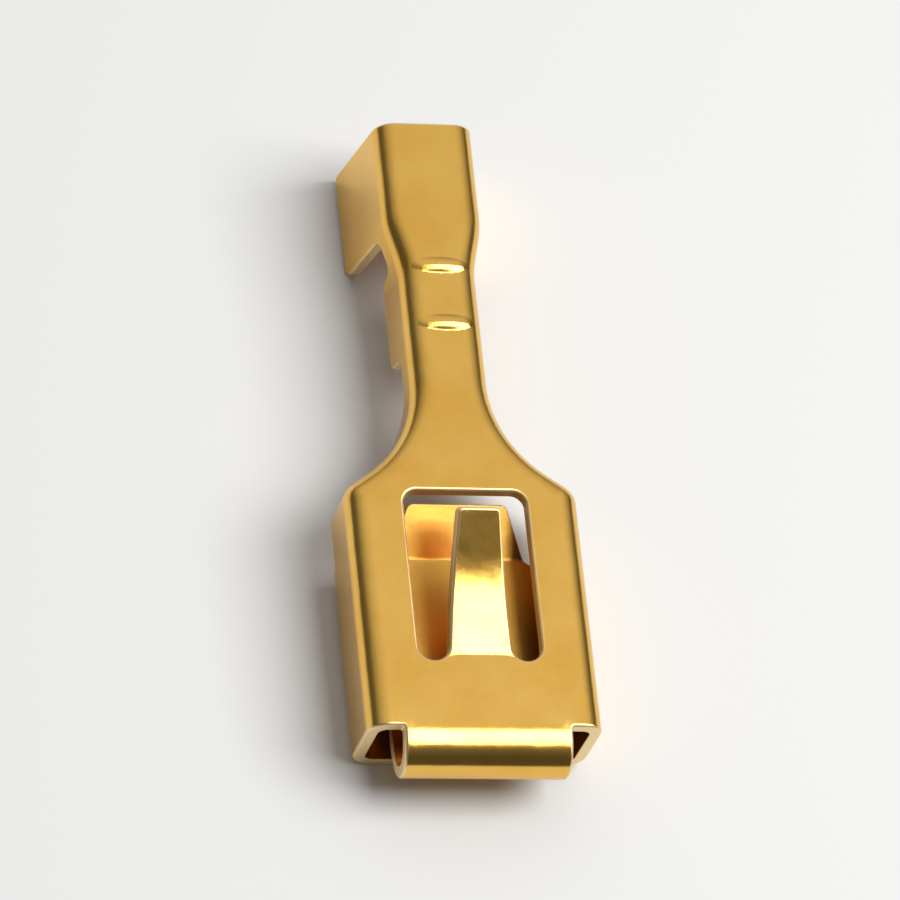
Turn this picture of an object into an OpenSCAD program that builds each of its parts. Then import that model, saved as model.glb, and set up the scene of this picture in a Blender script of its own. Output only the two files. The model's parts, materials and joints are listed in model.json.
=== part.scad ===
// Female spade terminal for a 6.3 x 0.8 mm tab: one piece of brass sheet, blanked and folded.
// All lengths are in millimetres. The terminal is drawn floor side up, with its mouth towards -Y,
// and then tipped until it rests on its flanges and its insulation wings.

/* [Sheet] */
// Thickness of the sheet
sheet_t = 0.4; // [0.3:0.01:0.44]
// Outside radius of the bends that run along the terminal
bend_r = 0.7; // [0.6:0.05:0.9]

/* [Box] */
// Outside width of the box
box_w = 7.6; // [7.2:0.1:8.6]
// Outside height of the box, from its floor to its flanges
box_h = 3.1; // [3:0.05:3.6]
// Length of the side walls, from their front to the shoulders
box_len = 7.9; // [7.4:0.1:9]
// Width of each flange, from the outside of its wall to its free edge
flange_w = 2.05; // [1.5:0.05:2.4]
// Length of the flanges
flange_len = 6.4; // [5:0.1:7]
// Radius of the free corners of the flanges
flange_corner_r = 0.55; // [0.2:0.05:0.7]

/* [Mouth] */
// Width of the tongue that folds back into the box
tongue_w = 5.4; // [4.6:0.1:5.6]
// How far the tongue's fold stands out in front of the walls
nose_len = 1.3; // [1.1:0.05:1.5]
// Turn over which the fold eases in and out, with a wider radius than between
nose_ease = 30; // [20:1:40]
// Clear height between the folded tongue and the flanges, which the tab springs open
tab_gap = 0.7; // [0.6:0.02:0.8]
// Width of the tongue's tail where it bends towards the floor
tail_root_w = 4.4; // [3.8:0.1:5.2]
// Width of the tail's end
tail_tip_w = 3.2; // [2.2:0.1:3.8]
// Height left free between the tail's end and the floor
tail_clear = 0.35; // [0.25:0.05:0.6]
// Slope of the tail
tail_angle = 22; // [18:1:32]

/* [Window] */
// Stretch of whole floor between the walls' front and the slots
band_len = 2.25; // [1.8:0.05:2.6]
// Length of the window, with the slots beside the lance
window_len = 5.85; // [5.4:0.05:6.2]
// Width of the window
window_w = 4; // [3.6:0.05:4.6]
// Radius of the window's rear corners
window_corner_r = 0.45; // [0.1:0.05:0.8]

/* [Lance] */
// Width of the lance between the slots' ends
lance_root_w = 2; // [1.7:0.05:2.3]
// Width of the lance at its tip
lance_tip_w = 1.4; // [1.1:0.05:1.7]
// Distance from the slots' ends to the bend at the lance's root
lance_set = 0.15; // [0.1:0.05:0.4]
// Slope at the lance's root
lance_angle = 8; // [5:1:14]
// Slope of the lance's tip
lance_tip_angle = 26; // [18:1:32]
// Radius that the lance curves with between them
lance_curve_r = 10.5; // [8:0.5:13]
// Length of its straight tip
lance_tip_len = 1.4; // [1:0.05:1.7]

/* [Neck] */
// Radius of the shoulders, seen from above
shoulder_r = 0.75; // [0.6:0.05:1]
// Radius of the hollow curve that runs into the neck
neck_r = 3.9; // [3:0.1:4.5]
// Steepest angle of the flare to the terminal's axis
flare_angle = 54; // [40:1:58]
// Straight neck ahead of the wire wings
neck_len = 1.1; // [0.6:0.1:1.8]
// Straight wall along the neck, beyond its bend
neck_wall = 0.55; // [0.3:0.05:0.8]

/* [Wire barrel] */
// Outside width of the wire barrel's base
wire_w = 2.55; // [2.2:0.05:3]
// Length of the wire wings
wire_len = 3.2; // [2.8:0.05:3.8]
// Straight height of the wire wings, beyond their bend
wire_wing = 1.5; // [1.3:0.05:2.2]
// Outward lean of the wire wings
wire_splay = 4; // [2:1:10]
// Distance between the two serration beads
bead_pitch = 2.05; // [1.6:0.05:2.4]
// Distance from the wire wings' rear to the middle of the rear bead
bead_back = 0.3; // [0.3:0.05:0.8]
// Length of a bead across the base
bead_len = 1.9; // [1.4:0.1:2.2]
// Width of a bead along the terminal
bead_w = 0.6; // [0.45:0.05:0.75]
// Height of a bead
bead_h = 0.14; // [0.1:0.01:0.17]

/* [Insulation barrel] */
// Outside width of the insulation barrel's base
grip_w = 3.3; // [3:0.05:3.8]
// Length of the insulation wings
grip_len = 3.8; // [3.2:0.05:4.4]
// Straight height of the insulation wings, beyond their bend
grip_wing = 3.3; // [2.9:0.05:4.2]
// Outward lean of the insulation wings
grip_splay = 8; // [5:1:15]
// Gap between the wire wings and the insulation wings
wing_gap = 1.05; // [0.9:0.05:1.4]
// Radius of the wings' corners
wing_corner_r = 0.35; // [0.2:0.05:0.5]
// Radius at the roots of the wings
wing_root_r = 0.3; // [0.15:0.05:0.4]
// Slant of the wings' ends
wing_slant = 0.06; // [0.04:0.02:0.2]

/* [Hidden] */

// Flat steps in a quarter turn of a bend
bend_steps = 8;
// Sections along each arc of the flare, and along the step between the barrels
arc_steps = 10;
step_steps = 8;
// Steps along the corners and roots of the wings
corner_steps = 4;
// Where a slice has points on its flat floor, as shares of the floor's half width
flat_steps = [1 / 7, 3 / 7, 5 / 7];
// Closest spacing of two sections of the barrels
min_step = 0.02;
// Overlap that joins the tongue and the lance to the floor
lap = 0.5;
// Middle radius of the creases across the lance and the tongue
crease_r = 0.5;

// Mouth: half height of the tongue's fold, its wide and its tight outside radius, and the front of
// the side walls
nose_h = (box_h - sheet_t - tab_gap) / 2;
nose_r1 = (nose_len * cos(nose_ease) - nose_h * (1 - sin(nose_ease)))
    / (sin(nose_ease) + cos(nose_ease) - 1);
nose_r2 = (nose_h - nose_r1 * (1 - cos(nose_ease))) / cos(nose_ease);
wall_y = nose_len;
// Floor: slot ends, lance root and rear edge of the window
slot_r = (window_w - lance_root_w) / 4;
slot_x = (window_w + lance_root_w) / 4;
slot_y = wall_y + band_len;
root_y = slot_y + lance_set;
window_y = slot_y + window_len;
// Box: rear of the flanges, the shoulders and the bare wall between its bends
flange_y = wall_y + flange_len;
shoulder_y = wall_y + box_len;
box_wall = box_h - 2 * bend_r;
// Flare: two tangent arcs and the straight between them
flare_drop = (box_w - wire_w) / 2;
flare_a = min(flare_angle, acos(1 - flare_drop / (shoulder_r + neck_r)));
flare_straight = flare_drop - (shoulder_r + neck_r) * (1 - cos(flare_a));
turn_in = shoulder_r * sin(flare_a);
turn_out = neck_r * sin(flare_a);
neck_y = shoulder_y + turn_in + flare_straight / tan(flare_a) + turn_out;
// Barrels
wire_y = neck_y + neck_len;
wire_end = wire_y + wire_len;
grip_y = wire_end + wing_gap;
end_y = grip_y + grip_len;
step_lap = 0.6;
step_y = wire_end - step_lap;
step_len = wing_gap + 2 * step_lap;
bead_ys = [for (i = [0, 1]) wire_end - bead_back - i * bead_pitch];

function ease(u) = let (v = min(max(u, 0), 1)) v * v * (3 - 2 * v);
function arc_drop(r, u) = r - sqrt(max(r * r - u * u, 0));

// Half the outside width of the base at y
function half_w(y) =
    y <= shoulder_y ? box_w / 2 :
    y <= shoulder_y + turn_in ? box_w / 2 - arc_drop(shoulder_r, y - shoulder_y) :
    y <= neck_y - turn_out ? box_w / 2 - arc_drop(shoulder_r, turn_in)
        - (y - shoulder_y - turn_in) * tan(flare_a) :
    y <= neck_y ? wire_w / 2 + arc_drop(neck_r, neck_y - y) :
    wire_w / 2 + (grip_w - wire_w) / 2 * ease((y - step_y) / step_len);

// How much wider a slice across the terminal cuts a wall that runs aslant at y
function aslant(y) = let (d = 0.001) norm([1, (half_w(y + d) - half_w(y - d)) / (2 * d)]);

// Outward lean of the walls at y
function splay(y) = wire_splay * ease((y - shoulder_y) / (wire_y - shoulder_y))
    + (grip_splay - wire_splay) * ease((y - wire_end) / wing_gap);

// Height of the serration beads, which are shallow domes, at x across the blank and y
function bead(x, y) = max([for (c = bead_ys)
    bead_h * pow(max(1 - pow(2 * x / bead_len, 2) - pow(2 * (y - c) / bead_w, 2), 0), 1.25)]);

// Front edge of a wing as [y, wall height] points, and its rear edge the other way round
function wing_front(y, high) = let (turn = [for (i = [0:corner_steps]) 90 * i / corner_steps])
    concat(
        [for (a = turn) [y - wing_root_r * (1 - sin(a)), neck_wall + wing_root_r * (1 - cos(a))]],
        [for (a = turn) [y + wing_slant + wing_corner_r * (1 - cos(a)),
            high - wing_corner_r * (1 - sin(a))]]);
function wing_back(y, high) = let (f = wing_front(0, high))
    [for (i = [len(f) - 1:-1:0]) [y - f[i].x, f[i].y]];

// Edge of the blank behind the shoulders, as [y, straight wall height]
wall_edge = concat(
    [[shoulder_y, box_wall], [neck_y, neck_wall]],
    wing_front(wire_y, wire_wing),
    wing_back(wire_end, wire_wing),
    wing_front(grip_y, grip_wing),
    [[end_y, grip_wing]]);
function wall_h(y) = lookup(y, wall_edge);

// Outside of one half of the sheet at y as [x, z, normal x, normal z, height of the bead]:
// half of the floor, the bend that turns down from it, and the wall beyond the bend
function half_path(y) =
    let (k = aslant(y), a = 90 - splay(y), w = wall_h(y), x = half_w(y) - k * bend_r)
    concat(
        [for (u = flat_steps) [u * x, 0, 0, 1, bead(u * x, y)]],
        [for (i = [0:bend_steps]) let (q = a * i / bend_steps)
            [x + k * bend_r * sin(q), bend_r * (cos(q) - 1), k * sin(q), cos(q),
                bead(x + bend_r * q * PI / 180, y)]],
        [[x + k * (bend_r * sin(a) + w * cos(a)), bend_r * (cos(a) - 1) - w * sin(a),
            k * sin(a), cos(a), 0]]);

// A path moved outwards by d along its normals
function moved(path, d) = [for (p = path) let (e = d + p[4])
    [p[0] + p[2] * e, p[1] + p[3] * e]];
function mirrored(path) = [for (p = path) [-p.x, p.y]];
function backwards(list) = [for (i = [len(list) - 1:-1:0]) list[i]];

// Closed outline of the sheet's section, from the outside and the inside of its right half
function section(outside, inside) = concat(
    backwards(mirrored(outside)), outside, backwards(inside), mirrored(inside));
function slice(y) = let (path = half_path(y)) section(moved(path, 0), moved(path, -sheet_t));

// Section of the box with its walls folded over to the flanges
function box_slice() = let (
    x = box_w / 2 - bend_r,
    path = concat(
        [for (i = [0:bend_steps]) let (q = 90 * i / bend_steps)
            [x + bend_r * sin(q), bend_r * (cos(q) - 1), sin(q), cos(q), 0]],
        [for (i = [0:bend_steps]) let (q = 90 + 90 * i / bend_steps)
            [x + bend_r * sin(q), bend_r * (1 + cos(q)) - box_h, sin(q), cos(q), 0]],
        [[box_w / 2 - flange_w, -box_h, 0, -1, 0]]))
    section(moved(path, 0), moved(path, -sheet_t));

// Sections of the barrels: where the plan, the blank's edge, the beads and the step change
function sorted(v) = len(v) < 2 ? v : concat(sorted([for (x = v) if (x < v[0]) x]), [v[0]],
    sorted([for (x = v) if (x > v[0]) x]));
slice_ys = sorted(concat(
    [for (i = [0:arc_steps]) shoulder_y + shoulder_r * sin(flare_a * i / arc_steps)],
    [for (i = [0:arc_steps]) neck_y - neck_r * sin(flare_a * i / arc_steps)],
    [for (p = wall_edge) p.x],
    [for (c = bead_ys, u = [-0.5, -0.36, -0.18, 0, 0.18, 0.36, 0.5]) c + u * bead_w],
    [for (i = [0:step_steps]) step_y + step_len * i / step_steps]));
inner_ys = [for (y = slice_ys) if (y > shoulder_y + min_step && y < end_y - min_step) y];
barrel_ys = concat([shoulder_y],
    [for (i = [0:len(inner_ys) - 1]) if (i == 0 || inner_ys[i] - inner_ys[i - 1] > min_step)
        inner_ys[i]],
    [end_y]);

// A solid through slices of the sheet, which all have as many points
module loft(ys) {
    slices = [for (y = ys) slice(y)];
    n = len(slices[0]);
    last = len(ys) - 1;
    points = [for (j = [0:last], p = slices[j]) [p.x, ys[j], p.y]];
    sides = [for (j = [0:last - 1], i = [0:n - 1]) let (
        a = j * n + i, b = j * n + (i + 1) % n) each [[a, a + n, b], [b, a + n, b + n]]];
    ends = [for (i = [0:n / 2 - 2]) let (a = i, b = i + 1, c = n - 2 - i, d = n - 1 - i)
        each [[a, b, c], [a, c, d], [last * n + c, last * n + b, last * n + a],
            [last * n + d, last * n + c, last * n + a]]];
    polyhedron(points = points, faces = concat(sides, ends));
}

// Prism of a section, from y0 to y1
module run(outline, y0, y1) {
    translate([0, y1, 0]) rotate([90, 0, 0]) linear_extrude(y1 - y0) polygon(outline);
}

// Prism of a side view of the sheet, w wide across the terminal
module across(w) {
    rotate([90, 0, 90]) linear_extrude(w, center = true) children();
}

// Cutter through one layer of sheet whose middle is at z, from its plan outline
module through(z) {
    translate([0, 0, z]) linear_extrude(2 * sheet_t, center = true) children();
}

// Prism of a plan outline, tall enough for the whole terminal
module at_any_height() {
    linear_extrude(4 * box_h, center = true) children();
}

// Strip of sheet in side view. It starts at p, heading along angle a, and each row of moves is
// [straight length, turn, radius of the sheet's middle]
function strip_middle(p, a, moves, i = 0) = i == len(moves) ? [] : let (
    m = moves[i],
    q = p + m[0] * [cos(a), sin(a)],
    s = sign(m[1]),
    centre = q + s * m[2] * [-sin(a), cos(a)],
    steps = m[1] == 0 ? 0 : ceil(abs(m[1]) * bend_steps / 90 * sqrt(m[2] / bend_r)),
    turned = [for (k = [1:1:steps]) let (b = a + m[1] * k / steps)
        [centre - s * m[2] * [-sin(b), cos(b)], b]])
    concat(i == 0 ? [[p, a]] : [], [[q, a]], turned,
        strip_middle(steps == 0 ? q : turned[steps - 1][0], a + m[1], moves, i + 1));
function strip(p, a, moves) = let (mid = strip_middle(p, a, moves), h = sheet_t / 2)
    concat([for (m = mid) m[0] + h * [-sin(m[1]), cos(m[1])]],
        backwards([for (m = mid) m[0] - h * [-sin(m[1]), cos(m[1])]]));

// What the rounded corners take off the flanges
module flange_corners() {
    r = flange_corner_r;
    through(sheet_t / 2 - box_h)
        for (side = [0, 1], rear = [0, 1])
            mirror([side, 0]) translate([box_w / 2 - flange_w, rear ? flange_y : wall_y])
                mirror([0, rear]) difference() {
                    translate([-r, -r]) square(2 * r);
                    translate([r, r]) circle(r, $fn = 48);
                }
}

// Box: floor, walls and flanges, then the bare walls that run on to the shoulders
module box() {
    difference() {
        run(box_slice(), wall_y, flange_y);
        flange_corners();
    }
    run(slice(shoulder_y), flange_y, shoulder_y);
}

// Window with a slot on each side of the lance
module window() {
    r = window_corner_r;
    side_y = slot_y + slot_r;
    through(-sheet_t / 2) {
        translate([-window_w / 2, side_y]) square([window_w, window_y - r - side_y]);
        translate([-window_w / 2 + r, side_y]) square([window_w - 2 * r, window_y - side_y]);
        translate([-slot_x, root_y]) square([2 * slot_x, side_y - root_y]);
        for (side = [-1, 1]) {
            translate([side * (window_w / 2 - r), window_y - r]) circle(r, $fn = 48);
            translate([side * slot_x, side_y]) circle(slot_r, $fn = 48);
        }
    }
}

// Lance: rises from its root between the slots' ends, and curves up to its tip
module lance() {
    moves = [[lap, lance_angle, crease_r],
        [0, lance_tip_angle - lance_angle, lance_curve_r], [lance_tip_len, 0, 0]];
    reach = root_y + crease_r * sin(lance_angle)
        + lance_curve_r * (sin(lance_tip_angle) - sin(lance_angle))
        + lance_tip_len * cos(lance_tip_angle) + sheet_t;
    side_y = slot_y + slot_r;
    intersection() {
        across(2 * slot_x) polygon(strip([root_y - lap, -sheet_t / 2], 0, moves));
        at_any_height() difference() {
            polygon([[-slot_x, root_y - lap], [slot_x, root_y - lap], [slot_x, side_y],
                [lance_root_w / 2, side_y], [lance_tip_w / 2, reach], [-lance_tip_w / 2, reach],
                [-lance_root_w / 2, side_y], [-slot_x, side_y]]);
            for (side = [-1, 1]) translate([side * slot_x, side_y]) circle(slot_r, $fn = 48);
        }
    }
}

// Tongue: runs out of the floor, folds back under it and ends in a tail that rises to the floor
module tongue() {
    fall = 2 * nose_h - 2 * sheet_t - tail_clear;
    tail = fall / sin(tail_angle) - crease_r * tan(tail_angle / 2) - sheet_t / tan(tail_angle) / 2;
    reach = flange_y + (tail + 2 * crease_r) * cos(tail_angle);
    moves = [[lap, nose_ease, nose_r1 - sheet_t / 2],
        [0, 180 - 2 * nose_ease, nose_r2 - sheet_t / 2],
        [0, nose_ease, nose_r1 - sheet_t / 2],
        [flange_y - wall_y, tail_angle, crease_r], [tail, 0, 0]];
    intersection() {
        across(tongue_w) polygon(strip([wall_y + lap, -sheet_t / 2], 180, moves));
        at_any_height() {
            translate([-tongue_w / 2, -1]) square([tongue_w, flange_y + 1]);
            polygon([[-tail_root_w / 2, flange_y - sheet_t], [tail_root_w / 2, flange_y - sheet_t],
                [tail_root_w / 2, flange_y], [tail_tip_w / 2, reach],
                [-tail_tip_w / 2, reach], [-tail_root_w / 2, flange_y]]);
        }
    }
}

// Lowest points of the insulation wings as [y, depth], and the tip that they give at rest
tip_depths = [for (p = wall_edge) if (p.x > grip_y) let (a = 90 - splay(p.x))
    [p.x, bend_r * (1 - cos(a)) + p.y * sin(a) + sheet_t * cos(a)]];
rest_tilt = max([for (p = tip_depths) atan((p.y - box_h) / (p.x - wall_y))]);
// Ends of the terminal along Y once it is tipped
rest_front = nose_r2 * (cos(rest_tilt) - 1) + nose_h * sin(rest_tilt);
rest_rear = end_y * cos(rest_tilt) + max([for (p = tip_depths) p.y]) * sin(rest_tilt);
rest_lift = box_h * cos(rest_tilt) - wall_y * sin(rest_tilt);

module spade_terminal() {
    color("goldenrod")
        translate([0, -(rest_front + rest_rear) / 2, rest_lift]) rotate([rest_tilt, 0, 0]) {
            difference() {
                union() {
                    box();
                    loft(barrel_ys);
                }
                window();
            }
            lance();
            tongue();
        }
}

spade_terminal();
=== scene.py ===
"""Looks of a female spade terminal: brass sheet, cut out and folded, with rounded sheared edges.

Lengths are in millimetres until the finished mesh is scaled to metres. The blank is flat: a point
on it is (s, y), with s across the sheet from its middle line and y along the terminal from the
front of the fold. place() carries such a point to the outer face of the folded terminal, floor
side up. The terminal's sizes have the names that they have in part.scad.
"""

import json
from cmath import rect
from math import acos, atan2, cos, hypot, pi, radians, sin, tan

import bpy
from mathutils import Matrix, Vector
from mathutils.geometry import delaunay_2d_cdt
from mathutils.kdtree import KDTree


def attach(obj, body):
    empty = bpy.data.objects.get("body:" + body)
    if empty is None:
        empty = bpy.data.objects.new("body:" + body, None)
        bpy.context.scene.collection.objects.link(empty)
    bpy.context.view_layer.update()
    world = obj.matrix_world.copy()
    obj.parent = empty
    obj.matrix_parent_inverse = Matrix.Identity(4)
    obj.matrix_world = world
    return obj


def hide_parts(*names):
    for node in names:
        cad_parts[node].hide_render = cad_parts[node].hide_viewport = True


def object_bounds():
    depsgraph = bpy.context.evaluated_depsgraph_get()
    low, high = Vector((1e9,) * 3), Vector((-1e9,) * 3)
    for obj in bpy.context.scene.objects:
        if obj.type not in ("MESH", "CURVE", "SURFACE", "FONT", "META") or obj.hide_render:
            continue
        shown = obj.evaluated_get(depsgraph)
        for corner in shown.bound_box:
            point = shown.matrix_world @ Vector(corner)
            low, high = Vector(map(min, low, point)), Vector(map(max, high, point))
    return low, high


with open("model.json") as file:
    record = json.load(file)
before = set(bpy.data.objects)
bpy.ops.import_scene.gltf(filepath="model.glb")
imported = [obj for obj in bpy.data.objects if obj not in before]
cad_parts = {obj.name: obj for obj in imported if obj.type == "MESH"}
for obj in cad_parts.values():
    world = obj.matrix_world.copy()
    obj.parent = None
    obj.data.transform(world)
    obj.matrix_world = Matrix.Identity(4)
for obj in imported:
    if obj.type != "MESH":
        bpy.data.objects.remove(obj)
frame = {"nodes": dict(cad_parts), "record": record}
cad_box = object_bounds()
mounts = {m["name"]: m for m in frame["record"]["mounts"]}

MM = 0.001

# Sheet and box
SHEET_T = 0.4
BEND_R = 0.7
BOX_W = 7.6
BOX_H = 3.1
BOX_LEN = 7.9
FLANGE_W = 2.05
FLANGE_LEN = 6.4
FLANGE_CORNER_R = 0.55

# Mouth, with the tongue that folds back into the box
TONGUE_W = 5.4
NOSE_LEN = 1.3
NOSE_EASE = 30
TAB_GAP = 0.7
TAIL_ROOT_W = 4.4
TAIL_TIP_W = 3.2
TAIL_CLEAR = 0.35
TAIL_ANGLE = 22
CREASE_R = 0.5

# Window and lance
BAND_LEN = 2.25
WINDOW_LEN = 5.85
WINDOW_W = 4.0
WINDOW_CORNER_R = 0.45
LANCE_ROOT_W = 2.0
LANCE_TIP_W = 1.4
LANCE_SET = 0.15
LANCE_ANGLE = 8
LANCE_TIP_ANGLE = 26
LANCE_CURVE_R = 10.5
LANCE_TIP_LEN = 1.4

# Neck and barrels
SHOULDER_R = 0.75
NECK_R = 3.9
FLARE_ANGLE = 54
NECK_LEN = 1.1
NECK_WALL = 0.55
WIRE_W = 2.55
WIRE_LEN = 3.2
WIRE_WING = 1.5
WIRE_SPLAY = 4
BEAD_PITCH = 2.05
BEAD_BACK = 0.3
BEAD_LEN = 1.9
BEAD_W = 0.6
BEAD_H = 0.1  # lower than the solid's, to catch the light as in the photograph
BEAD_EASE = 1.25
GRIP_W = 3.3
GRIP_LEN = 3.8
GRIP_WING = 3.3
GRIP_SPLAY = 8
WING_GAP = 1.05
WING_CORNER_R = 0.35
WING_ROOT_R = 0.3
WING_SLANT = 0.06
STEP_LAP = 0.6

# Sheared edges: the punch rolls the outer face over, and leaves the inner one nearly sharp
ROLL_R = 0.1
BURR_R = 0.035
CORNER_R = 0.2
NOTCH_R = 0.08

# The outline's turns above this many degrees are rounded, over at most this share of a side
SHARP_TURN = 25
CORNER_SHARE = 0.45

# Spacing of the mesh's points: along an edge, from an edge, over curved sheet and over flat sheet
EDGE_STEP = 0.09
EDGE_ROOM = 0.6 * EDGE_STEP
FINE = 0.07
COARSE = 0.3
BEND_STEPS = 14

# A step that is next to nothing, for slopes and for points on a line between two regions
HAIR = 0.001

# Stations along the terminal
NOSE_H = (BOX_H - SHEET_T - TAB_GAP) / 2
NOSE_TURN = radians(NOSE_EASE)
NOSE_R1 = NOSE_LEN * cos(NOSE_TURN) - NOSE_H * (1 - sin(NOSE_TURN))
NOSE_R1 /= sin(NOSE_TURN) + cos(NOSE_TURN) - 1
NOSE_R2 = (NOSE_H - NOSE_R1 * (1 - cos(NOSE_TURN))) / cos(NOSE_TURN)
MOUTH_Y = NOSE_LEN
SLOT_R = (WINDOW_W - LANCE_ROOT_W) / 4
SLOT_X = (WINDOW_W + LANCE_ROOT_W) / 4
SLOT_Y = MOUTH_Y + BAND_LEN
ROOT_Y = SLOT_Y + LANCE_SET
WINDOW_Y = SLOT_Y + WINDOW_LEN
FLANGE_Y = MOUTH_Y + FLANGE_LEN
SHOULDER_Y = MOUTH_Y + BOX_LEN
BOX_WALL = BOX_H - 2 * BEND_R
FLARE_DROP = (BOX_W - WIRE_W) / 2
FLARE = min(radians(FLARE_ANGLE), acos(1 - FLARE_DROP / (SHOULDER_R + NECK_R)))
FLARE_STRAIGHT = FLARE_DROP - (SHOULDER_R + NECK_R) * (1 - cos(FLARE))
NECK_Y = SHOULDER_Y + FLARE_STRAIGHT / tan(FLARE) + (SHOULDER_R + NECK_R) * sin(FLARE)
WIRE_Y = NECK_Y + NECK_LEN
WIRE_END = WIRE_Y + WIRE_LEN
GRIP_Y = WIRE_END + WING_GAP
END_Y = GRIP_Y + GRIP_LEN
BEADS_Y = [WIRE_END - BEAD_BACK - i * BEAD_PITCH for i in (1, 0)]

# Centres of the shoulder's and the neck's arcs in plan, and the flare's way out between them
SHOULDER_AT = Vector((BOX_W / 2 - SHOULDER_R, SHOULDER_Y))
NECK_AT = Vector((WIRE_W / 2 + NECK_R, NECK_Y))
FLARE_OUT = Vector((cos(FLARE), sin(FLARE)))

# Strips of sheet bent in side view, as (straight length, turn, radius of the sheet's middle): the
# tongue with its oval fold, its flat run, its crease and its tail, and the lance
TAIL_FALL = 2 * NOSE_H - 2 * SHEET_T - TAIL_CLEAR
TAIL = radians(TAIL_ANGLE)
TAIL_LEN = TAIL_FALL / sin(TAIL) - CREASE_R * tan(TAIL / 2) - SHEET_T / tan(TAIL) / 2
TONGUE = [
    (0, NOSE_TURN, NOSE_R1 - SHEET_T / 2),
    (0, pi - 2 * NOSE_TURN, NOSE_R2 - SHEET_T / 2),
    (0, NOSE_TURN, NOSE_R1 - SHEET_T / 2),
    (FLANGE_Y - MOUTH_Y, TAIL, CREASE_R),
    (TAIL_LEN, 0, 0),
]
LANCE = [
    (0, radians(LANCE_ANGLE), CREASE_R),
    (0, radians(LANCE_TIP_ANGLE - LANCE_ANGLE), LANCE_CURVE_R),
    (LANCE_TIP_LEN, 0, 0),
]


def strip_length(moves):
    """Length of a bent strip, along the sheet's middle."""
    return sum(straight + abs(turn) * radius for straight, turn, radius in moves)


FOLD_Y = MOUTH_Y - strip_length(TONGUE[:3])
TAIL_Y = FOLD_Y - TONGUE[3][0]
TIP_Y = MOUTH_Y - strip_length(TONGUE)
LANCE_END = ROOT_Y + strip_length(LANCE)


def ease(u):
    """Smooth step from 0 to 1."""
    v = min(max(u, 0), 1)
    return v * v * (3 - 2 * v)


def bend_turn(y):
    """Angle from the floor to the wall, which leans outwards along the barrels."""
    lean = WIRE_SPLAY * ease((y - SHOULDER_Y) / (WIRE_Y - SHOULDER_Y))
    lean += (GRIP_SPLAY - WIRE_SPLAY) * ease((y - WIRE_END) / WING_GAP)
    return radians(90 - lean)


def bend_line(x, y):
    """How far a point of the blank lies beyond the end of its floor, and the way out there."""
    spot = Vector((x, y))
    if y <= SHOULDER_Y:
        return x - BOX_W / 2 + BEND_R, Vector((1, 0))
    if y >= NECK_Y:
        step = ease((y - WIRE_END + STEP_LAP) / (WING_GAP + 2 * STEP_LAP))
        return x - WIRE_W / 2 - (GRIP_W - WIRE_W) / 2 * step + BEND_R, Vector((1, 0))
    out = spot - SHOULDER_AT
    if out.x > 0 and atan2(out.y, out.x) < FLARE:
        return out.length - SHOULDER_R + BEND_R, out.normalized()
    out = NECK_AT - spot
    if atan2(out.y, out.x) < FLARE:
        return NECK_R + BEND_R - out.length, out.normalized()
    return (spot - SHOULDER_AT).dot(FLARE_OUT) - SHOULDER_R + BEND_R, FLARE_OUT


def straight_bend(y):
    """Point of the bend line where it runs along the terminal, and the way out from it."""
    return Vector((-bend_line(0, y)[0], y)), Vector((1, 0))


def stations(ys):
    """Points of the bend line and the way out: in step with ys, but evenly round the arcs."""
    def round_arc(centre, r, start, end):
        n = max(1, round(abs(end - start) * max(abs(r), SHOULDER_R) / FINE))
        turn = [start + (end - start) * i / n for i in range(n + 1)]
        ways = [Vector((cos(a), sin(a))) for a in turn]
        return [(centre + r * way, way) for way in ways]

    line = [straight_bend(y) for y in ys if y < SHOULDER_Y]
    line += round_arc(SHOULDER_AT, SHOULDER_R - BEND_R, 0, FLARE)
    line += round_arc(NECK_AT, -NECK_R - BEND_R, FLARE, 0)
    return line + [straight_bend(y) for y in ys if y > NECK_Y]


WALL_BEND = BEND_R * pi / 2 + BOX_WALL
FLANGE_BEND = WALL_BEND + BEND_R * pi / 2
BOX_SIDE = BOX_W / 2 - BEND_R
FLANGE_EDGE = BOX_SIDE + FLANGE_BEND + FLANGE_W - BEND_R


def wing(y0, y1, high, rear=True):
    """Edge of a wing as (y, height of straight wall), with its rear unless the sheet ends there."""
    steps = 8
    turn = [pi / 2 * i / steps for i in range(steps + 1)]
    r, root = WING_CORNER_R, WING_ROOT_R
    edge = [(-root * (1 - sin(a)), NECK_WALL + root * (1 - cos(a))) for a in turn]
    edge += [(WING_SLANT + r * (1 - cos(a)), high - r * (1 - sin(a))) for a in turn]
    front = [(y0 + y, h) for y, h in edge]
    return front + ([(y1 - y, h) for y, h in reversed(edge)] if rear else [(y1, high)])


WALL_EDGE = [(SHOULDER_Y, BOX_WALL), (NECK_Y, NECK_WALL)]
WALL_EDGE += wing(WIRE_Y, WIRE_END, WIRE_WING)
WALL_EDGE += wing(GRIP_Y, END_Y, GRIP_WING, rear=False)


def wall_height(y):
    """Height of the wall above its bend. In front of the shoulder it is the height there."""
    y = max(y, SHOULDER_Y)
    for (y0, h0), (y1, h1) in zip(WALL_EDGE, WALL_EDGE[1:]):
        if y0 <= y <= y1 and y1 > y0:
            return h0 + (h1 - h0) * (y - y0) / (y1 - y0)
    return WALL_EDGE[-1][1]


def bead(s, y):
    """Height of the serration beads, which are shallow domes across the wire barrel's base."""
    domes = [1 - (2 * s / BEAD_LEN) ** 2 - (2 * (y - c) / BEAD_W) ** 2 for c in BEADS_Y]
    return BEAD_H * max(*domes, 0) ** BEAD_EASE


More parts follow.
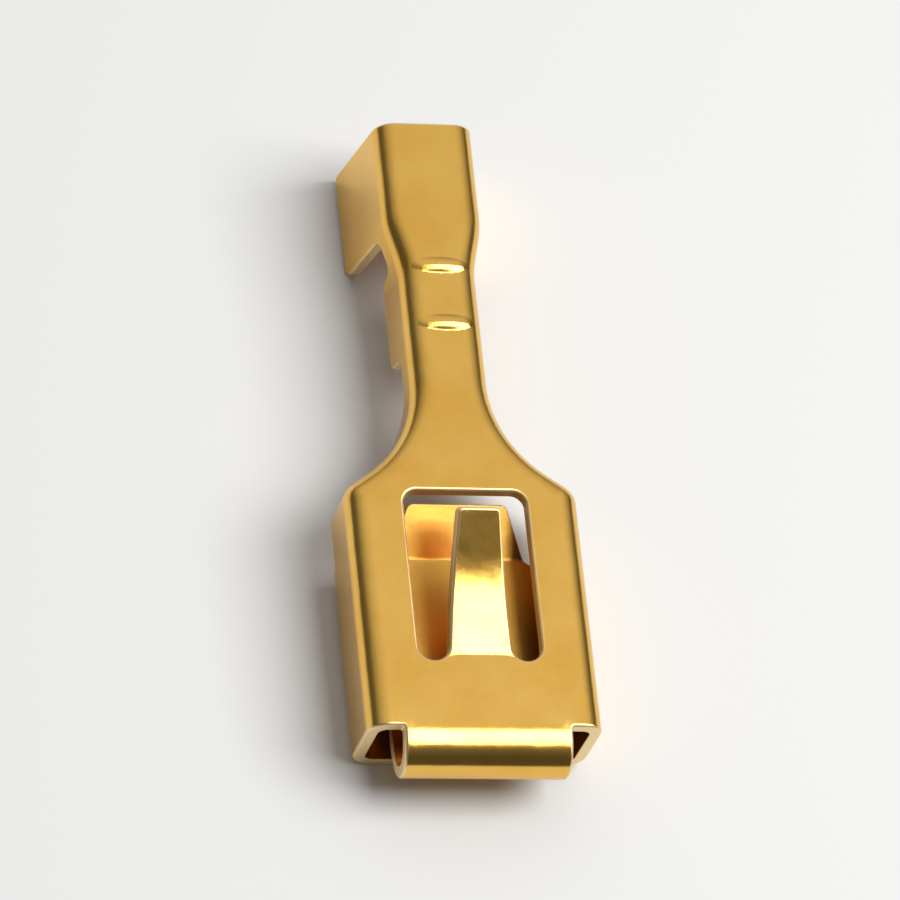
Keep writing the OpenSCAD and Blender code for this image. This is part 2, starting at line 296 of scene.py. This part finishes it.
def along_strip(moves, distance, at, heading):
    """Middle of a bent strip in side view, and its heading, at a distance from its start."""
    for straight, turn, radius in moves:
        if distance <= straight or radius == 0:
            break
        at += rect(straight, heading)
        distance -= straight
        part = min(distance / (radius * abs(turn)), 1) * turn
        side = radius if turn > 0 else -radius
        at += side * 1j * (rect(1, heading) - rect(1, heading + part))
        heading += part
        distance -= abs(part) * radius
        if distance <= 0:
            break
    return at + rect(distance, heading), heading


def on_tongue(y):
    """Whether a point is on the tongue. The mouth's own line belongs to the floor."""
    return y < MOUTH_Y - HAIR


def on_lance(s, y):
    """Whether a point is on the lance, or on the part of the slots' edge that bends with it."""
    return ROOT_Y < y < LANCE_END + SLOT_R and abs(s) < SLOT_X


def place(s, y):
    """Point of the folded sheet's outer face."""
    middle = complex(0, -SHEET_T / 2)
    if on_tongue(y):
        at, heading = along_strip(TONGUE, MOUTH_Y - y, MOUTH_Y + middle, pi)
        at -= rect(SHEET_T / 2, heading + pi / 2)
        return Vector((s, at.real, at.imag))
    if on_lance(s, y):
        at, heading = along_strip(LANCE, y - ROOT_Y, ROOT_Y + middle, 0)
        at += rect(SHEET_T / 2, heading + pi / 2)
        return Vector((s, at.real, at.imag))
    side = -1 if s < 0 else 1
    beyond, out = bend_line(abs(s), y)
    if beyond <= 0:
        return Vector((s, y, bead(s, y)))
    foot = Vector((abs(s), y)) - beyond * out
    turn = min(beyond / BEND_R, bend_turn(foot.y))
    wall = beyond - turn * BEND_R
    around = flange = 0
    if y <= FLANGE_Y and beyond > WALL_BEND:
        wall = BOX_WALL
        around = min((beyond - WALL_BEND) / BEND_R, pi / 2)
        flange = max(beyond - FLANGE_BEND, 0)
    r = BEND_R + bead(s, y)
    across = r * sin(turn) + wall * cos(turn) + BEND_R * (cos(around) - 1) - flange
    z = r * cos(turn) - BEND_R - wall * sin(turn) - BEND_R * sin(around)
    spot = foot + across * out
    return Vector((side * spot.x, spot.y, z))


def slopes(s, y):
    """How the placed point moves with s and with y. The box is straight along y."""
    with_s = (place(s + HAIR, y) - place(s - HAIR, y)) / (2 * HAIR)
    if not on_tongue(y) and y <= SHOULDER_Y and not on_lance(s, y):
        return with_s, Vector((0, 1, 0))
    return with_s, (place(s, y + HAIR) - place(s, y - HAIR)) / (2 * HAIR)


def spaced(points, step, closed=False):
    """The same line with points at most step apart."""
    ends = points[1:] + points[:1] if closed else points[1:]
    line = []
    for (x0, y0), (x1, y1) in zip(points, ends):
        n = max(1, round(hypot(x1 - x0, y1 - y0) / step))
        line += [(x0 + (x1 - x0) * i / n, y0 + (y1 - y0) * i / n) for i in range(n)]
    return line if closed else line + points[-1:]


def softened(points, steps=6):
    """A closed line with its sharp corners rounded. The sheet is on its left."""
    line = []
    for a, b, c in zip(points[-1:] + points[:-1], points, points[1:] + points[:1]):
        back, on = Vector(a) - Vector(b), Vector(c) - Vector(b)
        if pi - back.angle(on) < radians(SHARP_TURN):
            line.append(b)
            continue
        r = CORNER_R if on.cross(back) > 0 else NOTCH_R
        near = min(r, CORNER_SHARE * back.length, CORNER_SHARE * on.length)
        start, end = (Vector(b) + near * way.normalized() for way in (back, on))
        for i in range(steps + 1):
            t = i / steps
            line.append(tuple((1 - t) ** 2 * start + 2 * t * (1 - t) * Vector(b) + t * t * end))
    return line


def arc(s, y, r, start, end, steps=12):
    """Points round a centre of the blank, between two angles in degrees."""
    turn = [radians(start + (end - start) * i / steps) for i in range(steps + 1)]
    return [(s + r * cos(a), y + r * sin(a)) for a in turn]


def wall_edge():
    """Edge of the blank behind the flanges, from their rear to the terminal's rear."""
    heights = spaced(WALL_EDGE[2:-1], EDGE_STEP) + WALL_EDGE[-1:]
    line = [(Vector((BOX_SIDE, FLANGE_Y)), Vector((1, 0)), BOX_WALL)]
    for foot, out in stations([]):
        y = (foot + out * BEND_R).y
        line.append((foot, out, wall_height(y)))
    line += [(*straight_bend(y), h) for y, h in heights]
    return [tuple(foot + out * (BEND_R * bend_turn(foot.y) + h)) for foot, out, h in line]


def blank_edge():
    """Outline of the blank, anticlockwise from the tip of the tongue's tail."""
    r = FLANGE_CORNER_R
    side = [(TAIL_TIP_W / 2, TIP_Y), (TAIL_ROOT_W / 2, TAIL_Y), (TONGUE_W / 2, TAIL_Y + COARSE)]
    side += [(TONGUE_W / 2, MOUTH_Y)]
    side += arc(FLANGE_EDGE - r, MOUTH_Y + r, r, -90, 0)
    side += arc(FLANGE_EDGE - r, FLANGE_Y - r, r, 0, 90)
    side += wall_edge()
    return side + [(-s, y) for s, y in reversed(side)]


def window_edge():
    """Outline of the slots and the window round the lance, clockwise."""
    r = WINDOW_CORNER_R
    side = [(LANCE_TIP_W / 2, LANCE_END)] + arc(SLOT_X, SLOT_Y + SLOT_R, SLOT_R, 180, 360)
    side += arc(WINDOW_W / 2 - r, WINDOW_Y - r, r, 0, 90)
    loop = side + [(-s, y) for s, y in reversed(side)]
    return loop[::-1]


def edge_profile():
    """Section of a sheared edge, as (distance in from the edge, depth, angle of its normal)."""
    steps = 4
    quarter = [pi / 2 * i / steps for i in range(steps + 1)]
    roll = [(ROLL_R * (1 - sin(a)), ROLL_R * (1 - cos(a)), a) for a in quarter]
    burr = [(BURR_R * (1 - cos(a)), SHEET_T - BURR_R * (1 - sin(a)), pi / 2 + a) for a in quarter]
    return roll + burr + [(ROLL_R, SHEET_T, pi)]


def rows_y():
    """Where the rows of points inside the blank lie: close together where the sheet is curved."""
    tip = LANCE_END - LANCE_TIP_LEN
    first, second = BEADS_Y
    half = BEAD_W / 2 + FINE
    stretches = [
        (TIP_Y, TAIL_Y - CREASE_R, COARSE),
        (TAIL_Y - CREASE_R, TAIL_Y, FINE),
        (TAIL_Y, FOLD_Y, COARSE),
        (FOLD_Y, MOUTH_Y, FINE),
        (MOUTH_Y, ROOT_Y, COARSE),
        (ROOT_Y, ROOT_Y + 2 * FINE, FINE),
        (ROOT_Y + 2 * FINE, tip, 2 * FINE),
        (tip, SHOULDER_Y, COARSE / 2),
        (SHOULDER_Y, NECK_Y, FINE),
        (NECK_Y, first - half, 2 * FINE),
        (first - half, first + half, FINE / 2),
        (first + half, second - half, 2 * FINE),
        (second - half, second + half, FINE / 2),
        (second + half, END_Y, FINE),
    ]
    rows = []
    for start, end, step in stretches:
        n = max(1, round((end - start) / step))
        rows += [start + (end - start) * i / n for i in range(n)]
    return rows


def spots_inside():
    """Points to fill the blank: rows over its floor and tongue, others up each bend and wall."""
    rows = rows_y()
    spots = []
    for y in rows:
        wide = TONGUE_W if y < MOUTH_Y else BOX_W
        by_bead = min(abs(y - c) for c in BEADS_Y) < BEAD_W / 2 + 2 * FINE
        n = round(wide / (FINE if by_bead else COARSE))
        row = [(wide * (i / n - 0.5), y) for i in range(n + 1)]
        spots += [(x, y) for x, y in row if y < MOUTH_Y or bend_line(abs(x), y)[0] < -FINE / 2]
    for foot, out in stations([y for y in rows if y >= MOUTH_Y]):
        turn = BEND_R * bend_turn(foot.y)
        bend = [i / BEND_STEPS for i in range(BEND_STEPS + 1)]
        stops = [turn * u for u in bend]
        high = max(wall_height((foot + out * BEND_R).y), BOX_WALL if foot.y < SHOULDER_Y else 0)
        n = max(1, round(high / COARSE))
        stops += [turn + high * i / n for i in range(1, n + 1)]
        if foot.y < FLANGE_Y:
            stops += [WALL_BEND + BEND_R * pi / 2 * u for u in bend[1:]]
            stops += [FLANGE_BEND + COARSE * i for i in range(1, round(FLANGE_W / COARSE))]
        for stop in stops:
            x, y = foot + out * stop
            spots += [(x, y), (-x, y)]
    return spots


def inside(point, loops):
    """Whether a point of the blank lies within its outline and outside its holes."""
    x, y = point
    hit = False
    for loop in loops:
        for (x0, y0), (x1, y1) in zip(loop, loop[1:] + loop[:1]):
            if (y0 > y) != (y1 > y) and x < x0 + (x1 - x0) * (y - y0) / (y1 - y0):
                hit = not hit
    return hit


def in_scene(name, data):
    """A new object of the scene."""
    thing = bpy.data.objects.new(name, data)
    bpy.context.scene.collection.objects.link(thing)
    return thing


def folded_sheet(name):
    """The terminal as one closed mesh: rings round both outlines, and two skins between them."""
    profile = edge_profile()
    loops = [spaced(softened(edge), EDGE_STEP, closed=True)
             for edge in (blank_edge(), window_edge())]
    points, normals, blank, through, sheared, faces = [], [], [], [], [], []

    def add(point, normal, spot, depth=0.0, edge=0.0):
        """Number of a new vertex, with its spot on the blank and its depth in the sheet."""
        points.append(point)
        normals.append(normal)
        blank.append(spot)
        through.append(depth / SHEET_T)
        sheared.append(edge)
        return len(points) - 1

    # Rings of points that carry the profile round each outline
    skin_spots, skin_edges, outer, inner = [], [], [], []
    for loop in loops:
        rings = []
        first = len(skin_spots)
        for before, (s, y), after in zip(loop[-1:] + loop[:-1], loop, loop[1:] + loop[:1]):
            with_s, with_y = slopes(s, y)
            normal = with_s.cross(with_y).normalized()
            tangent = with_s * (after[0] - before[0]) + with_y * (after[1] - before[1])
            inward = normal.cross(tangent).normalized()
            # Solve inward = a * with_s + b * with_y for the step across the blank
            ss, yy, sy = with_s.dot(with_s), with_y.dot(with_y), with_s.dot(with_y)
            si, yi = with_s.dot(inward), with_y.dot(inward)
            a = (si * yy - yi * sy) / (ss * yy - sy * sy)
            b = (yi * ss - si * sy) / (ss * yy - sy * sy)
            edge = place(s, y)
            ring = []
            for inset, depth, turn in profile:
                spot = edge + inward * inset - normal * depth
                facing = normal * cos(turn) - inward * sin(turn)
                ring.append(add(spot, facing, (s, y), depth, sin(turn)))
            rings.append(ring)
            skin_spots.append((s + a * ROLL_R, y + b * ROLL_R))
        n = len(rings)
        skin_edges += [(first + i, first + (i + 1) % n) for i in range(n)]
        outer += [ring[0] for ring in rings]
        inner += [ring[-1] for ring in rings]
        for ring, after in zip(rings, rings[1:] + rings[:1]):
            for i in range(len(profile) - 1):
                faces.append((ring[i], ring[i + 1], after[i + 1], after[i]))

    # Points between the rings, on both skins. KDTree.find gives the distance last
    near = KDTree(len(skin_spots))
    for i, (s, y) in enumerate(skin_spots):
        near.insert((s, y, 0), i)
    near.balance()
    ring_loops = [skin_spots[:len(loops[0])], skin_spots[len(loops[0]):]]
    for s, y in spots_inside():
        if near.find((s, y, 0))[-1] > EDGE_ROOM and inside((s, y), ring_loops):
            with_s, with_y = slopes(s, y)
            normal = with_s.cross(with_y).normalized()
            skin_spots.append((s, y))
            outer.append(add(place(s, y), normal, (s, y)))
            inner.append(add(place(s, y) - normal * SHEET_T, -normal, (s, y), SHEET_T))

    # The blank's triangles serve both skins, and sources leads from them back to the points
    whole_hull, epsilon, need_sources = 0, 1e-6, True
    flat, _, triangles, sources, *_ = delaunay_2d_cdt(
        [Vector(spot) for spot in skin_spots], skin_edges, [], whole_hull, epsilon, need_sources)
    for corners in triangles:
        if inside(sum((flat[i] for i in corners), Vector((0, 0))) / 3, ring_loops):
            a, b, c = (sources[i][0] for i in corners)
            faces.append((outer[a], outer[b], outer[c]))
            faces.append((inner[c], inner[b], inner[a]))

    mesh = bpy.data.meshes.new(name)
    mesh.from_pydata([rest @ point for point in points], [], faces)
    mesh.shade_smooth()
    mesh.normals_split_custom_set_from_vertices([rest.to_3x3().normalized() @ n for n in normals])
    uv = mesh.uv_layers.new(name="blank")
    for loop in mesh.loops:
        uv.data[loop.index].uv = blank[loop.vertex_index]
    for label, values in (("sheared", sheared), ("inner", through)):
        mesh.attributes.new(label, "FLOAT", "POINT").data.foreach_set("value", values)
    return in_scene(name, mesh)


# The terminal lies on its flanges and its insulation wings: the seat's mount gives place and tilt
seat = mounts["flange_seat"]
seat_at, down = Vector(seat["pos_m"]), Vector(seat["axis"])
seat_point = Vector((seat_at.x / MM, (MOUTH_Y + FLANGE_Y) / 2, -BOX_H))
turned = Matrix.Rotation(atan2(down.y, -down.z), 4, "X") @ Matrix.Scale(MM, 4)
rest = Matrix.Translation(seat_at - turned @ seat_point) @ turned

terminal = folded_sheet("terminal_sheet")
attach(terminal, "root")
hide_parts("spade_terminal")

# Brass: its tints, by share of the drift between them, the inner faces' painted shade and the
# sheared edges' tint
TINTS = {0.35: (0.83, 0.47, 0.09, 1), 0.65: (0.88, 0.53, 0.12, 1)}
# Painted shade: a darker brass tint on the inner faces, inside the box
INNER_PAINTED_SHADE = (0.64, 0.33, 0.06, 1)
SHEARED = (0.96, 0.76, 0.44, 1)
SHEARED_FADE = 0.6

# Roughness along the rolling lines, how much duller the inner faces are, and the sheared edges'
SMOOTHEST = 0.13
ROUGHEST = 0.2
INNER_DULLER = 0.14
SHEARED_ROUGH = 0.55

# Rolling lines, as noise per millimetre across and along the sheet, and shallow dents
LINES_SCALE = (22, 0.7, 1)
LINES_STRENGTH = 0.16
DRIFT_SCALE = 0.45
DENTS_SCALE = 0.9
DENTS_STRENGTH = 0.6
RELIEF = 0.02 * MM


def node(tree, kind, *sockets, **values):
    """A new node's output. The values fill its inputs, in order or by name, or its settings."""
    made = tree.nodes.new(kind)
    inputs = dict(enumerate(sockets))
    for key, value in values.items():
        if hasattr(made, key):
            setattr(made, key, value)
        else:
            inputs[key.replace("_", " ")] = value
    for key, value in inputs.items():
        if isinstance(value, bpy.types.NodeSocket):
            tree.links.new(value, made.inputs[key])
        else:
            made.inputs[key].default_value = value
    return next(output for output in made.outputs if output.enabled)


def ramp(tree, factor, stops):
    """A colour ramp, from a dictionary of its stops' colours by position."""
    colour = node(tree, "ShaderNodeValToRGB", factor)
    elements = colour.node.color_ramp.elements
    for i, (position, value) in enumerate(stops.items()):
        stop = elements[i] if i < 2 else elements.new(position)
        stop.position, stop.color = position, value
    return colour


def marked(tree, name):
    """A number that the mesh carries at its points."""
    return node(tree, "ShaderNodeAttribute", attribute_name=name).node.outputs["Fac"]


def brass():
    """Rolled brass: lines along the sheet, drifting tint, pale sheared edges, dull inner faces
    darkened by painted shade.
    """
    material = bpy.data.materials.new("rolled_brass")
    material.use_nodes = True
    tree = material.node_tree
    noise = "ShaderNodeTexNoise"

    where = node(tree, "ShaderNodeUVMap", uv_map="blank")
    stretched = node(tree, "ShaderNodeMapping", Vector=where, Scale=LINES_SCALE)
    lines = node(tree, noise, Vector=stretched, Scale=1.0, Detail=5.0, Roughness=0.65)
    drift = node(tree, noise, Vector=where, Scale=DRIFT_SCALE, Detail=3.0, Roughness=0.55)
    dents = node(tree, noise, Vector=where, Scale=DENTS_SCALE, Detail=2.0, Roughness=0.5)
    inner = marked(tree, "inner")
    sheared = marked(tree, "sheared")
    edge = node(tree, "ShaderNodeMath", sheared, SHEARED_FADE, operation="POWER")

    colour = ramp(tree, drift, TINTS)
    # The inner faces' darker tint is painted shade; the sheared edges' paler tint is their own
    for share, other in ((inner, INNER_PAINTED_SHADE), (edge, SHEARED)):
        colour = node(tree, "ShaderNodeMix", data_type="RGBA", Factor=share, A=colour, B=other)
    rough = node(tree, "ShaderNodeMapRange", Value=lines, To_Min=SMOOTHEST, To_Max=ROUGHEST)
    rough = node(tree, "ShaderNodeMath", inner, INNER_DULLER, rough, operation="MULTIPLY_ADD")
    rough = node(tree, "ShaderNodeMix", data_type="FLOAT", Factor=edge, A=rough, B=SHEARED_ROUGH)
    relief = node(tree, "ShaderNodeBump", Height=dents, Strength=DENTS_STRENGTH, Distance=RELIEF)
    relief = node(tree, "ShaderNodeBump", Height=lines, Strength=LINES_STRENGTH, Distance=RELIEF,
                  Normal=relief)

    shader = tree.nodes["Principled BSDF"]
    shader.inputs["Metallic"].default_value = 1.0
    for name, value in (("Base Color", colour), ("Roughness", rough), ("Normal", relief)):
        tree.links.new(value, shader.inputs[name])
    return material


metal = brass()
terminal.data.materials.append(metal)
for part in frame["nodes"].values():
    part.data.materials.clear()
    part.data.materials.append(metal)

# Stage: a pale floor far wider than the view. From here on, sizes are in lengths of the terminal
FLOOR_REACH = 60
FLOOR_COLOUR = (0.8, 0.8, 0.79, 1)
FLOOR_ROUGH = 0.9
FLOOR_SHINE = 0.1

low, high = (Vector(corner) for corner in cad_box)
length = high.y - low.y
centre = (low + high) / 2

paint = bpy.data.materials.new("pale_floor")
paint.use_nodes = True
surface = paint.node_tree.nodes["Principled BSDF"].inputs
surface["Base Color"].default_value = FLOOR_COLOUR
surface["Roughness"].default_value = FLOOR_ROUGH
surface["Specular IOR Level"].default_value = FLOOR_SHINE

reach = FLOOR_REACH * length
corners = [(-reach, -reach, 0), (reach, -reach, 0), (reach, reach, 0), (-reach, reach, 0)]
floor_mesh = bpy.data.meshes.new("floor")
floor_mesh.from_pydata(corners, [], [(0, 1, 2, 3)])
floor_mesh.materials.append(paint)
floor = in_scene("floor", floor_mesh)

# A wide soft lamp above, far enough to the right that the terminal's flats do not mirror it
LAMP_WAY = (0.51, -0.07, 0.86)
LAMP_FAR = 12
LAMP_WIDTH = 10.8
LAMP_HEIGHT = 6.6
LAMP_WATTS = 0.76

lamp = bpy.data.lights.new("overhead", "AREA")
lamp.shape = "RECTANGLE"
lamp.size, lamp.size_y = LAMP_WIDTH * length, LAMP_HEIGHT * length
lamp.energy = LAMP_WATTS
away = Vector(LAMP_WAY).normalized()
rear = away.cross(Vector((1, 0, 0))).normalized()
facing = Matrix((rear.cross(away), rear, away)).transposed().to_4x4()
lamp_at = centre + away * (LAMP_FAR * length)
in_scene("overhead", lamp).matrix_world = Matrix.Translation(lamp_at) @ facing

# Studio: dim low down, brighter towards the top and the rear, by how far a direction points there
SKY_TOP = (0.08, 0.62, 0.78)
SKY_LEVELS = {0.0: 0.09, 0.5: 0.13, 0.95: 0.74}

world = bpy.data.worlds.new("studio")
bpy.context.scene.world = world
world.use_nodes = True
sky = world.node_tree
way = node(sky, "ShaderNodeTexCoord")
height = node(sky, "ShaderNodeVectorMath", way, SKY_TOP, operation="DOT_PRODUCT")
dome = ramp(sky, height, {share: (level, level, level, 1) for share, level in SKY_LEVELS.items()})
sky.links.new(dome, sky.nodes["Background"].inputs["Color"])

# Camera: the photograph's view, as the ways towards the camera and to its right from the terminal
VIEW_BACK = (-0.256, -0.427, 0.867)
VIEW_RIGHT = (0.966, -0.096, 0.239)
CAMERA_FAR = 10.5
LENS = 300
SENSOR = 36

camera = in_scene("camera", bpy.data.cameras.new("camera"))
bpy.context.scene.camera = camera
back = Vector(VIEW_BACK).normalized()
right = Vector(VIEW_RIGHT)
right = (right - right.dot(back) * back).normalized()
view = turned.to_3x3().normalized() @ Matrix((right, back.cross(right), back)).transposed()
camera_at = centre + view.col[2] * CAMERA_FAR * length
camera.matrix_world = Matrix.Translation(camera_at) @ view.to_4x4()
camera.data.sensor_width = SENSOR
camera.data.lens = LENS
camera.data.clip_start = length

bpy.context.scene.view_settings.view_transform = "Standard"
